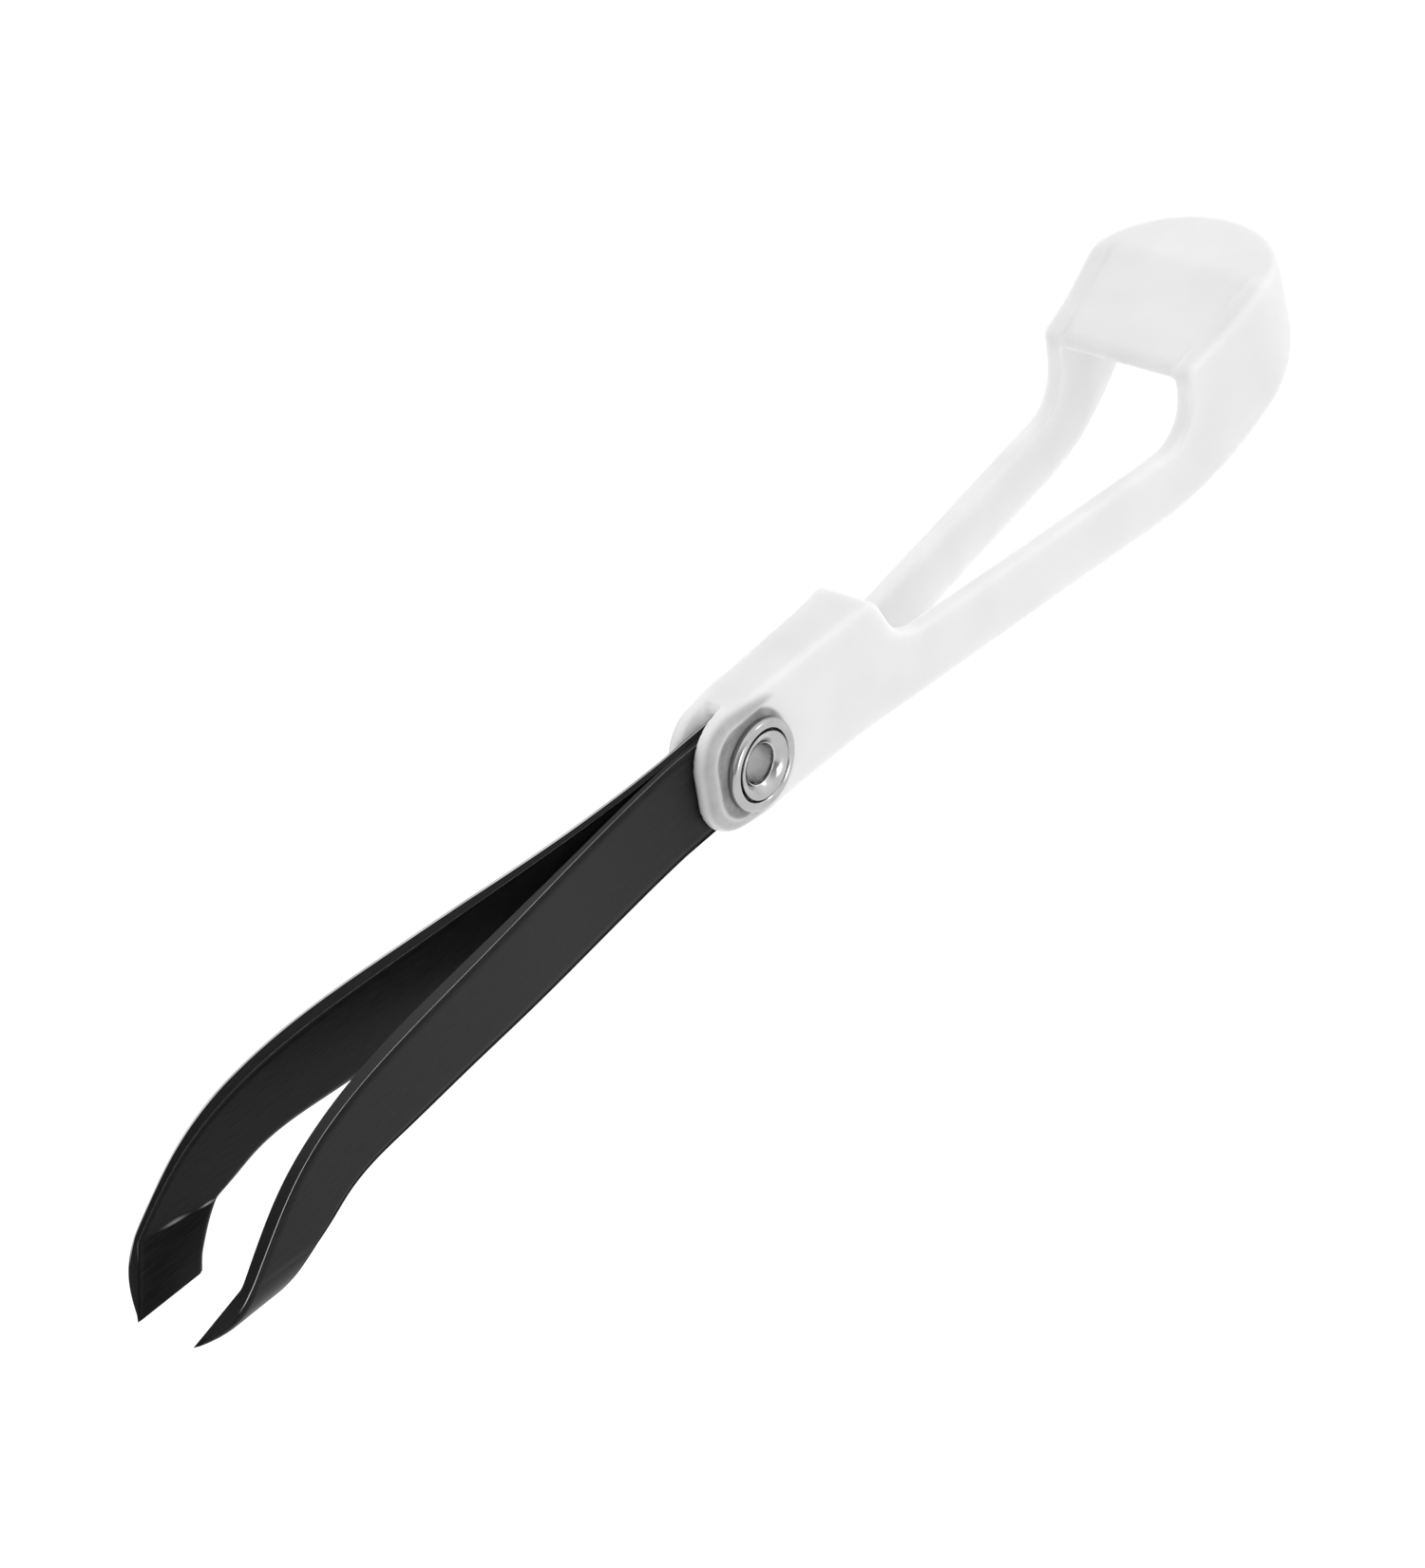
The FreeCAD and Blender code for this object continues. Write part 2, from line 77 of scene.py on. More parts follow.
def make_camera():
    """The camera, at the place and angle from which the tweezers are shown."""
    data = bpy.data.cameras.new("camera")
    data.lens = CAMERA_LENS
    data.sensor_width = SENSOR_WIDTH
    data.clip_start = CLIP_START
    camera = bpy.data.objects.new("camera", data)
    axes = Matrix((CAMERA_RIGHT, CAMERA_UP, CAMERA_BACK)).transposed()
    camera.matrix_world = Matrix.LocRotScale(CAMERA_PLACE, axes.to_quaternion(), None)
    bpy.context.collection.objects.link(camera)
    bpy.context.scene.camera = camera


# ---------------------------------------------------------------- meshes

def make_object(name, points, faces):
    """A smooth-shaded mesh object from points in millimetres."""
    mesh = bpy.data.meshes.new(name)
    mesh.from_pydata((np.asarray(points) * MM).tolist(), [], faces)
    mesh.validate()
    mesh.shade_smooth()
    item = bpy.data.objects.new(name, mesh)
    bpy.context.collection.objects.link(item)
    return item


def mark(mesh, name, values):
    """Writes one number for each point, for a material to read."""
    mesh.attributes.new(name, "FLOAT", "POINT").data.foreach_set("value", values.astype(np.float32))


def ramp(value, start, end):
    """0 before start, 1 after end and smooth between."""
    t = np.clip((value - start) / (end - start), 0, 1)
    return t * t * (3 - 2 * t)


def fade(value, start, end):
    """1 before start, 0 after end and smooth between."""
    return 1 - ramp(value, start, end)


def between(value, start, full, fading, gone):
    """1 from full to fading, 0 before start and after gone, and smooth between."""
    return ramp(value, start, full) * fade(value, fading, gone)


def hill(value, peak, width):
    """1 at the peak, falling off smoothly on both sides."""
    return np.exp(-((value - peak) / width) ** 2)


# ---------------------------------------------------------------- case, as a signed distance in mm

# Ears and waist, seen from above.
EAR_FACE, SLOT_HALF = 1.5, 0.56
WAIST_REACH, WAIST_SLOPE = 3.1, 0.0358
WAIST_BLEND, RAIL_BLEND = 0.02, 0.12
FLARE = math.radians(7.07)

# Head. Its round end moves back by HEAD_DRAFT for each millimetre down from the top.
HEAD_CENTRE, HEAD_RADIUS, HEAD_TOP, HEAD_DRAFT, HEAD_FRONT = 42.1, 5.795, 7.0, 0.114, 35.86
HEAD_HALF = HEAD_RADIUS / math.cos(FLARE)
PAST_HEAD = 49.6

# Outline from the side. Bends are (x, z, radius).
BODY_TOP, RAIL_TOP, BOTTOM = 4.0, 0.56, -3.35
NOSE, NOSE_BOTTOM, NOSE_TOP_RADIUS, NOSE_BOTTOM_RADIUS = -4.08, -3.42, 2.7, 3.0
STEP, STEP_ANGLE, STEP_TOP_RADIUS, STEP_RADIUS = 10.6, math.radians(66), 1.0, 2.6
POST, POST_LEAN, POST_RADIUS = HEAD_FRONT - 0.06, 0.1, 2.4
RIM_FRONT, RIM_FRONT_RADIUS, RIM_BEND = 4.93, 0.6, (38.8, 5.6, 6.0)
RIM_END, RIM_END_RADIUS = 42.4, 2.5
BELLY, UNDER_RADIUS = (12, -3.46), 60
CHIN, CHIN_RADIUS, CHIN_ANGLE = 38.5, 20.2, math.radians(34.7)

# Dish in the top of the head.
DISH_START, DISH_FRONT, DISH_END, DISH_STOP = 34, 4.64, 42.9, 44
DISH_HALF_FRONT, DISH_HALF_END = 3.87, 4.75
DISH_SLOPE = (HEAD_TOP - DISH_FRONT) / (DISH_END - HEAD_FRONT)
DISH_SPREAD = (DISH_HALF_END - DISH_HALF_FRONT) / (DISH_END - HEAD_FRONT)

# Hollow: half widths at places along x, averaged over a few shifts so that their bends are soft, then
# a round end in the head, and the roof's underside.
HOLLOW_REACH = (-8, 5, 13, 31, 36.36, 41.82, 50)
HOLLOW_HALF = (SLOT_HALF, SLOT_HALF, 1.235, 3.467, 3.92, 4.714, 5.73)
HOLLOW_SHIFTS = (-0.8, -0.4, 0, 0.4, 0.8)
CAVITY_CENTRE, CAVITY_RADIUS = 42.4, 4.75
HEAD_ROOF, ROOF_START, ROOF_UNDER = 0.62, -1.0, 3.15
BORE = 1.47

# Round root of each strip.
ROOT_RADIUS, ROOT_HALF, ROOT_HOLE = 2.95, 2.9, 1.5

# Roundings of the edges where two of these shapes meet.
EDGE, NOSE_EDGE, HOLLOW_EDGE, DISH_EDGE, BORE_EDGE = 0.36, 0.85, 0.3, 0.15, 0.08
SLOT_MOUTH_EDGE, WINDOW_EDGE = 0.08, 0.20
DISH_RIM_EDGE, HOOD_EDGE = 0.12, 0.32

# Points on a rounded corner of an outline.
LEAST_STEPS, STEPS_PER_RADIAN = 6, 16

# Box and spacings of the sampling grid.
GRID_LOW, GRID_HIGH = (-4.9, -7.2, -4.3), (50.3, 7.3, 7.7)
GRID_STEP, QUICK_STEP = 0.15, 0.3


def rounded_corner(back, here, ahead, radius):
    """Points on the arc that rounds one corner between its two neighbours."""
    back, ahead = back - here, ahead - here
    back /= np.linalg.norm(back)
    ahead /= np.linalg.norm(ahead)
    half = math.acos(np.clip(back @ ahead, -1, 1)) / 2
    reach = radius / math.tan(half)
    centre = here + (back + ahead) / np.linalg.norm(back + ahead) * radius / math.sin(half)
    first, last = here + back * reach - centre, here + ahead * reach - centre
    turn = math.atan2(first[0] * last[1] - first[1] * last[0], first @ last)
    angles = np.linspace(0, turn, max(LEAST_STEPS, int(abs(turn) * STEPS_PER_RADIAN)))
    across = np.array((-first[1], first[0]))
    return [centre + math.cos(angle) * first + math.sin(angle) * across for angle in angles]


def rounded_outline(corners):
    """Closed outline through (x, z, radius) corners, each rounded by an arc of that radius."""
    places = [np.array(corner[:2], float) for corner in corners]
    outline = []
    for index, (here, corner) in enumerate(zip(places, corners)):
        if corner[2] == 0:
            outline.append(here)
            continue
        ahead = places[(index + 1) % len(places)]
        outline += rounded_corner(places[index - 1], here, ahead, corner[2])
    return np.array(outline)


def outline_distance(outline, x, z):
    """Distance to a closed outline, negative inside."""
    nearest = np.full(np.broadcast(x, z).shape, 1e9)
    inside = np.zeros(nearest.shape, bool)
    for (ax, az), (bx, bz) in zip(outline, np.roll(outline, -1, axis=0)):
        ex, ez = bx - ax, bz - az
        along = np.clip(((x - ax) * ex + (z - az) * ez) / max(ex * ex + ez * ez, 1e-12), 0, 1)
        gap = (x - ax - along * ex) ** 2 + (z - az - along * ez) ** 2
        nearest = np.minimum(nearest, gap)
        if az != bz:
            crosses = ((az > z) != (bz > z)) & (x < ex * (z - az) / ez + ax)
            inside ^= crosses
    return np.where(inside, -1, 1) * np.sqrt(nearest)


def meet(a, b, radius):
    """Both shapes at once, with the edge between them rounded."""
    corner = np.hypot(np.maximum(a + radius, 0), np.maximum(b + radius, 0))
    return np.minimum(np.maximum(a, b), -radius) + corner


def rounded_max(a, b, width):
    """The larger of two, with a soft change from one to the other."""
    near = np.maximum(width - np.abs(a - b), 0)
    return np.maximum(a, b) + near * near / (4 * width)


def rail_half(x):
    """Half width of the case on the outside of its flared part."""
    return HEAD_HALF + (x - HEAD_CENTRE) * math.tan(FLARE)


def case_side_outline():
    """The case from the side, clockwise from the top of its nose."""
    step_end = STEP + (BODY_TOP - RAIL_TOP) / math.tan(STEP_ANGLE)
    end_bottom = BOTTOM + (PAST_HEAD - CHIN) * math.tan(CHIN_ANGLE)
    return rounded_outline([
        (NOSE, BODY_TOP, NOSE_TOP_RADIUS),
        (STEP, BODY_TOP, STEP_TOP_RADIUS),
        (step_end, RAIL_TOP, STEP_RADIUS),
        (POST, RAIL_TOP, POST_RADIUS),
        (POST + POST_LEAN, RIM_FRONT, RIM_FRONT_RADIUS),
        RIM_BEND,
        (RIM_END, HEAD_TOP, RIM_END_RADIUS),
        (PAST_HEAD, HEAD_TOP, 0),
        (PAST_HEAD, end_bottom, 0),
        (CHIN, BOTTOM, CHIN_RADIUS),
        (2 * BELLY[0], BOTTOM, UNDER_RADIUS),
        (*BELLY, UNDER_RADIUS),
        (NOSE, NOSE_BOTTOM, NOSE_BOTTOM_RADIUS),
    ])


def dish_floor(x):
    """Height of the dish's sloping floor."""
    return DISH_FRONT + (x - HEAD_FRONT) * DISH_SLOPE


def inside_side_outline():
    """The hollow from the side: open below, roofed behind the slot and in the head."""
    under = HEAD_TOP - HEAD_ROOF
    left, right, above, below = -8, 56, 12, -12
    return rounded_outline([
        (left, above, 0),
        (ROOF_START, above, 0),
        (ROOF_START, ROOF_UNDER, 0.1),
        (HEAD_FRONT - 1, ROOF_UNDER, 0.3),
        (HEAD_FRONT, dish_floor(HEAD_FRONT) - HEAD_ROOF, 0.3),
        (DISH_END, under, 0.5),
        (right, under, 0),
        (right, below, 0),
        (left, below, 0),
    ])


CASE_SIDE = case_side_outline()
INSIDE_SIDE = inside_side_outline()


def hollow_distance(x, y, z):
    """Signed distance to the surface of the hollow inside the case."""
    across = np.abs(y)
    halves = [np.interp(x + shift, HOLLOW_REACH, HOLLOW_HALF) for shift in HOLLOW_SHIFTS]
    half = sum(halves) / len(halves)
    walls = (across - half) * math.cos(FLARE)
    in_head = (x - CAVITY_CENTRE) * math.cos(FLARE) + across * math.sin(FLARE) > 0
    plan = np.where(in_head, np.hypot(x - CAVITY_CENTRE, across) - CAVITY_RADIUS, walls)
    return meet(plan, outline_distance(INSIDE_SIDE, x, z), HOLLOW_EDGE)


def outer_distances(x, y, z):
    """Signed distances to the case's outer walls and to its outline seen from the side."""
    across = np.abs(y)
    lean = (HEAD_TOP - z) * HEAD_DRAFT
    centre, radius = HEAD_CENTRE + lean, HEAD_RADIUS + lean * math.sin(FLARE)
    half = rounded_max(EAR_FACE, EAR_FACE + (x - WAIST_REACH) * WAIST_SLOPE, WAIST_BLEND)
    half = rounded_max(half, rail_half(x), RAIL_BLEND)
    walls = (across - half) * math.cos(FLARE)
    past_walls = (x - centre) * math.cos(FLARE) + across * math.sin(FLARE) > 0
    plan = np.where(past_walls, np.hypot(x - centre, across) - radius, walls)
    return plan, outline_distance(CASE_SIDE, x, z)


def dish_distance(x, y, z):
    """Signed distance to the surface of the dish cut into the top of the head."""
    floor = (dish_floor(x) - z) / math.hypot(1, DISH_SLOPE)
    half = DISH_HALF_FRONT + (x - HEAD_FRONT) * DISH_SPREAD
    dish = meet(np.maximum(floor, x - DISH_STOP), np.abs(y) - half, DISH_EDGE)
    return np.maximum(dish, DISH_START - x)


def case_distance(x, y, z):
    """Signed distance to the case's surface, all in millimetres."""
    plan, side = outer_distances(x, y, z)
    outer_edge = EDGE + (NOSE_EDGE - EDGE) * fade(x, -1.8, 0.8)
    hollow_edge = SLOT_MOUTH_EDGE + (WINDOW_EDGE - SLOT_MOUTH_EDGE) * ramp(x, -1, 3)
    dish_edge = DISH_RIM_EDGE + (HOOD_EDGE - DISH_RIM_EDGE) * fade(x, 36.2, 37.2)
    shape = meet(plan, side, outer_edge)
    shape = meet(shape, -hollow_distance(x, y, z), hollow_edge)
    shape = meet(shape, -dish_distance(x, y, z), dish_edge)
    return meet(shape, BORE - np.hypot(x, z), BORE_EDGE)


def at_corner(array, offset):
    """What an array of grid nodes holds at one corner of every cell."""
    return array[tuple(slice(o, o + n - 1) for o, n in zip(offset, array.shape))]


def crossed_cells(value):
    """Which grid cells the zero surface crosses, and the middle of its crossings in each."""
    corners = [(i, j, k) for i in (0, 1) for j in (0, 1) for k in (0, 1)]
    below = sum(at_corner(value < 0, offset).astype(np.int8) for offset in corners)
    active = (below > 0) & (below < len(corners))
    where = np.argwhere(active)
    total, hits = np.zeros((len(where), 3)), np.zeros(len(where))
    edges = [(corner, axis) for corner in corners for axis in range(3) if not corner[axis]]
    for first, axis in edges:
        second = tuple(o + (n == axis) for n, o in enumerate(first))
        a, b = at_corner(value, first)[active], at_corner(value, second)[active]
        crossing = (a < 0) != (b < 0)
        part = np.where(crossing, a / np.where(crossing, a - b, 1), 0)
        spot = np.array(first, float) + np.outer(part, np.eye(3)[axis])
        total += spot * crossing[:, None]
        hits += crossing
    return active, where + total / hits[:, None]


def crossing_faces(inside, number):
    """One quad round each grid edge that crosses the surface, from the numbers of its four cells."""
    faces = []
    for axis in range(3):
        u, v = (axis + 1) % 3, (axis + 2) % 3
        a = np.take(inside, range(inside.shape[axis] - 1), axis)
        b = np.take(inside, range(1, inside.shape[axis]), axis)
        spots = np.argwhere(a != b)
        flipped = b[tuple(spots.T)]
        ring = []
        for du, dv in ((0, 0), (1, 0), (1, 1), (0, 1)):
            cell = spots.copy()
            cell[:, u] -= du
            cell[:, v] -= dv
            ring.append(number[tuple(cell.T)])
        quads = np.stack(ring, 1)
        quads[flipped] = quads[flipped][:, ::-1]
        faces.append(quads)
    return np.concatenate(faces)


def surface_net(distance, low, high, step):
    """Quad mesh on the zero surface of a distance function, sampled on an even grid."""
    axes = [np.arange(start, end + step, step) for start, end in zip(low, high)]
    value = distance(*np.meshgrid(*axes, indexing="ij", sparse=True))
    active, spots = crossed_cells(value)
    number = np.full(active.shape, -1)
    number[active] = np.arange(len(spots))
    return np.array(low) + spots * step, crossing_faces(value < 0, number)


def neighbour_average(points, faces):
    """Mean of each point's neighbours round its faces."""
    total, count = np.zeros_like(points), np.zeros(len(points))
    for a, b in ((0, 1), (1, 2), (2, 3), (3, 0)):
        for here, there in ((faces[:, a], faces[:, b]), (faces[:, b], faces[:, a])):
            np.add.at(total, here, points[there])
            np.add.at(count, here, 1)
    return total / count[:, None]


def slope_of(distance, points, reach=0.004):
    """Value and gradient of a distance function at points."""
    directions = np.array(((1, 1, 1), (1, -1, -1), (-1, 1, -1), (-1, -1, 1)), float)
    values = [distance(*(points + reach * way).T) for way in directions]
    gradient = sum(np.outer(value, way) for value, way in zip(values, directions)) / (4 * reach)
    return sum(values) / 4, gradient


def settle(distance, points, faces, most, evening=3, rounds=5, share=0.6):
    """Brings the points onto the exact surface, and evens them out in the first rounds."""
    for turn in range(rounds):
        value, gradient = slope_of(distance, points)
        size = np.maximum((gradient ** 2).sum(1), 0.2)
        points = points - gradient * (np.clip(value / size, -most, most))[:, None]
        if turn < evening:
            normal = gradient / np.sqrt((gradient ** 2).sum(1) + 1e-9)[:, None]
            shift = neighbour_average(points, faces) - points
            shift -= normal * (shift * normal).sum(1)[:, None]
            points = points + share * shift
    return points


# Painted shade where the strips' black roots lie behind the thin ears: its shift from the roots in x and
# z, and how dark each place gets. CREASE_LIGHT is a painted highlight along the ear's crease, HOOD_SHADE
# a painted shade at the hood's front edge.
ROOT_SHADE_SHIFT = (-0.42, 0.40)
BAND_SHADE, FACE_SHADE, RIM_SHADE, CREASE_LIGHT, HOOD_SHADE = 0.62, 0.88, 0.12, 0.42, 0.11


def show_through(points):
    """Painted shade on the plastic, 0 to 1: grey where the black roots lie behind the thin ears, less
    along the ear's crease (a painted highlight), and a painted shade at the hood's edge.
    """
    x, y, z = points.T
    seen_x, seen_z = x - ROOT_SHADE_SHIFT[0], z - ROOT_SHADE_SHIFT[1]
    root = np.where(seen_x > 0, np.hypot(seen_x, seen_z), np.abs(seen_z)) - ROOT_RADIUS
    over_root, near_root = fade(root, -0.12, 0.12), fade(root, 0.15, 0.95)
    inset = -outline_distance(CASE_SIDE, x, z)
    face = ramp(inset, 0.7, 1.02)
    band = BAND_SHADE * ramp(inset, 0.02, 0.3) * (1 - face) * near_root
    tone = band + over_root * face * (FACE_SHADE + RIM_SHADE * hill(inset, 1.15, 0.3))
    tone = np.clip(tone - CREASE_LIGHT * hill(inset, 0.84, 0.10) * over_root, 0, 1)
    hood = between(x, 34.6, 35.2, 36.0, 36.8) * fade(np.abs(y), 3.5, 3.8) * ramp(z, 3.6, 4.2)
    return np.maximum(ramp(np.abs(y), 0.75, 1.2) * tone, HOOD_SHADE * hood)


# Painted glow, emission that stands in for light coming through the plastic: on the hollow's walls, with
# more in the head, in the slot and deep in it, and on the outer parts.
WALL_GLOW, HEAD_GLOW, SLOT_GLOW, DEEP_GLOW = 0.26, 0.10, 0.12, 0.55
POST_GLOW, EDGE_GLOW = 0.24, 0.07


def painted_glow(points):
    """How much painted glow the plastic gets: emission standing in for light coming through the walls of
    the hollow, and painted highlights where edges would catch it.
    """
    x, y, z = points.T
    plan, side = outer_distances(x, y, z)
    inside = fade(np.abs(hollow_distance(x, y, z)), 0.05, 0.15)
    below_top = np.maximum(ramp(-side, 0.03, 0.25), ramp(x, 29.5, 32.5))
    in_slot, deep = fade(x, 0.5, 4.0), between(x, -2.2, -1.1, 1, 4)
    level = WALL_GLOW + HEAD_GLOW * ramp(x, 30, 36) + SLOT_GLOW * in_slot + DEEP_GLOW * deep
    walls = inside * below_top * level
    post = between(x, 29, 33, 36.5, 37.0) * fade(-side, 0.02, 0.12) * fade(z, 3.4, 4.6)
    edges = ramp(np.minimum(plan, side), -EDGE, -0.4 * EDGE)
    return np.maximum(np.maximum(walls, POST_GLOW * post), EDGE_GLOW * edges)


def make_case():
    """The case-handle, one moulding."""
    step = GRID_STEP
    points, faces = surface_net(case_distance, GRID_LOW, GRID_HIGH, step)
    points = settle(case_distance, points, faces, step / 2)
    case = make_object("case_shell", points, faces.tolist())
    # Painted shade: grey where the roots lie behind the ears and at the hood's front edge.
    mark(case.data, "show_through", show_through(points))
    # Painted glow: emission on the hollow's walls, the post and the edges.
    mark(case.data, "painted_glow", painted_glow(points))
    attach(case, "case")
    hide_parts("handle_case")
    return case


# ---------------------------------------------------------------- spring strips

# Distances of the far strip's two faces from the middle plane, at places along x.
STRIP_REACH = (-5.5, -7.0, -9.0, -13.0, -20.0, -25.6, -31.1, -36.0, -39.8, -43.2, -45.5)
STRIP_INNER = (0.02, 0.09, 0.21, 0.55, 1.21, 1.72, 2.25, 2.75, 3.12, 3.43, 3.58)
STRIP_OUTER = (0.49, 0.56, 0.69, 1.05, 1.90, 2.55, 3.12, 3.53, 3.84, 4.02, 4.10)

# Upper and lower edge from the rivet to the crease, then the tip's front and its curved heel, in x and z.
UPPER_EDGE = ((-5.5, 2.9), (-13.0, 2.85), (-20.0, 2.95), (-25.6, 3.03), (-31.1, 2.98),
              (-36.0, 2.35), (-39.8, 0.98), (-43.9, -2.2))
LOWER_EDGE = ((-5.5, -2.9), (-13.0, -2.85), (-20.0, -2.5), (-25.6, -2.11), (-31.1, -1.85),
              (-36.0, -2.15), (-37.5, -2.68), (-38.64, -3.02))
TIP_FRONT = (UPPER_EDGE[-1], (-46.35, -4.85))
TIP_HEEL = (LOWER_EDGE[-1], (-39.5, -3.45), (-40.25, -3.97), (-40.9, -4.53), (-41.5, -5.18))

# Distances from the middle plane and thicknesses at the (upper, lower) end of the crease and the tip.
CREASE_INNER, CREASE_OUTER = (3.5, 3.01), (4.02, 3.74)
TIP_GAPS, TIP_THICKNESS, TIP_BOW = (1.84, 1.92), (0.20, 0.52), 2.6
TIP_SLANT, SLANT_START, SLANT_FULL = 0.40, 36, 43

# Cuts along a strip, and points round each cut: four corners, with the outer face after the second
# and the inner face after the fourth.
ROUND_ROWS, LEVEL_ROWS, ARM_ROWS, TIP_ROWS = 14, 10, 150, 60
CORNER_STEPS, FACE_POINTS, CORNER_RADIUS = 5, 20, 0.075
UPPER_CORNERS = (2 * CORNER_STEPS + FACE_POINTS, 3 * CORNER_STEPS + FACE_POINTS)
INNER_FIRST = 4 * CORNER_STEPS + FACE_POINTS
RING_POINTS = INNER_FIRST + FACE_POINTS


def spline(knots, values, at):
    """Natural cubic spline through values at increasing knots."""
    knots, values, at = (np.asarray(part, float) for part in (knots, values, at))
    gaps = np.diff(knots)
    count = len(knots)
    matrix, right = np.eye(count), np.zeros(count)
    slopes = np.diff(values) / gaps
    for row in range(1, count - 1):
        matrix[row, row - 1:row + 2] = gaps[row - 1], 2 * (gaps[row - 1] + gaps[row]), gaps[row]
        right[row] = 6 * (slopes[row] - slopes[row - 1])
    bend = np.linalg.solve(matrix, right)
    cell = np.clip(np.searchsorted(knots, at) - 1, 0, count - 2)
    h, before, after = gaps[cell], knots[cell + 1] - at, at - knots[cell]
    cubic = (bend[cell] * before ** 3 + bend[cell + 1] * after ** 3) / (6 * h)
    linear = (values[cell] / h - bend[cell] * h / 6) * before
    return cubic + linear + (values[cell + 1] / h - bend[cell + 1] * h / 6) * after


def edge_curve(points, count):
    """Evenly spaced places along a smooth curve through points."""
    points = np.array(points)
    length = np.append(0, np.cumsum(np.linalg.norm(np.diff(points, axis=0), axis=1)))
    at = np.linspace(0, length[-1], count)
    return np.stack([spline(length, points[:, 0], at), spline(length, points[:, 1], at)], 1)


def strip_face(x, values):
    """Distance of a strip's face from the middle plane, level inside the case."""
    reach = np.clip(x, STRIP_REACH[-1], STRIP_REACH[0])
    return spline(-np.array(STRIP_REACH), values, -reach)


def corner_points(centre, radius, start):
    """One rounded corner, a quarter turn clockwise from the start angle."""
    angles = [start - turn for turn in np.linspace(0, math.pi / 2, CORNER_STEPS)]
    return [(centre[0] + radius * math.cos(a), centre[1] + radius * math.sin(a)) for a in angles]


def face_points(first, last, level):
    """Points along one flat face, between its two corners."""
    return [(place, level) for place in np.linspace(first, last, FACE_POINTS + 2)[1:-1]]


def section(height, thick, slant):
    """Closed loop for one cut: (part of the height from low to high, part of the way from in to out)."""
    r = min(CORNER_RADIUS, 0.2 * thick, 0.2 * height)
    loop = corner_points((r, r), r, math.pi)
    loop += corner_points((r, thick - r), r, math.pi / 2)
    loop += face_points(r, height - r, thick)
    loop += corner_points((height - r, thick - r), r, 0)
    loop += corner_points((height - r, r), r, -math.pi / 2)
    loop += face_points(height - r, r, 0)
    loop = np.array(loop) / (height, thick)
    loop[:, 0] *= 1 - slant / height * np.clip((loop[:, 1] - 0.2) / 0.8, 0, 1)
    return loop


def root_rows():
    """Upper and lower end of each cut across the round root and the level part after it."""
    turns = np.linspace(0.12, math.pi / 2, ROUND_ROWS)
    ends = [(ROOT_RADIUS * math.cos(a), ROOT_HALF * math.sin(a)) for a in turns]
    ends += [(x, ROOT_HALF) for x in np.linspace(-0.5, -5.0, LEVEL_ROWS)]
    return [((x, z), (x, -z)) for x, z in ends]


def strip_rows():
    """Ends of every cut across a strip from the rivet to the tip, and how far past the crease it is."""
    root = root_rows()
    past = np.linspace(0, 1, TIP_ROWS + 1)[1:]
    front = np.array(TIP_FRONT[0]) + past[:, None] * (np.array(TIP_FRONT[1]) - TIP_FRONT[0])
    upper = [*edge_curve(UPPER_EDGE, ARM_ROWS), *front]
    lower = [*edge_curve(LOWER_EDGE, ARM_ROWS), *edge_curve(TIP_HEEL, TIP_ROWS + 1)[1:]]
    rows = root + list(zip(upper, lower))
    pasts = np.append(np.zeros(len(root) + ARM_ROWS), past)
    return [(np.array(high), np.array(low)) for high, low in rows], pasts


def tip_faces(up, past):
    """Inner and outer face of the tip at parts of the height and one part of the way past the crease."""
    start_in = CREASE_INNER[1] + up * (CREASE_INNER[0] - CREASE_INNER[1])
    start_out = CREASE_OUTER[1] + up * (CREASE_OUTER[0] - CREASE_OUTER[1])
    edge_in = TIP_GAPS[1] + up * (TIP_GAPS[0] - TIP_GAPS[1])
    edge_out = edge_in + TIP_THICKNESS[1] + ramp(up, 0.7, 1) * (TIP_THICKNESS[0] - TIP_THICKNESS[1])
    return start_in + past * (edge_in - start_in), start_out + past ** TIP_BOW * (edge_out - start_out)


def strip_points(rows, pasts):
    """Rings of points round the far strip."""
    rings = []
    for (high, low), past in zip(rows, pasts):
        height = np.linalg.norm(high - low)
        middle = (high[0] + low[0]) / 2
        thick = strip_face(middle, STRIP_OUTER) - strip_face(middle, STRIP_INNER)
        thick = max(thick * (1 - past ** 4), TIP_THICKNESS[0])
        loop = section(height, thick, TIP_SLANT * ramp(-high[0], SLANT_START, SLANT_FULL))
        across = low + loop[:, :1] * (high - low)
        if past > 0:
            face_in, face_out = tip_faces(loop[:, 0], past)
        else:
            face_in = strip_face(across[:, 0], STRIP_INNER)
            face_out = strip_face(across[:, 0], STRIP_OUTER)
        y = face_in + loop[:, 1] * (face_out - face_in)
        rings.append(np.stack([across[:, 0], y, across[:, 1]], 1))
    return np.array(rings)


def soften_crease(rings, crease, reach=6, rounds=5):
    """Evens out the rows near the crease, so that it is a small bend and not a corner."""
    low, high = crease - reach, crease + reach + 1
    for _ in range(rounds):
        middle = (rings[low - 1:high - 1] + rings[low + 1:high + 1]) / 2
        rings[low:high] = 0.5 * rings[low:high] + 0.5 * middle
    return rings


def ring_faces(rows, count):
    """Quads between neighbouring rings, and one face over each end."""
    faces = []
    for row in range(rows - 1):
        for spot in range(count):
            after = (spot + 1) % count
            faces.append([row * count + spot, row * count + after,
                          (row + 1) * count + after, (row + 1) * count + spot])
    faces.append(list(range(count))[::-1])
    faces.append([(rows - 1) * count + spot for spot in range(count)])
    return faces


DRILL_SIDES, DRILL_REACH = 96, 2
SAME_PLACE = 0.002 * MM


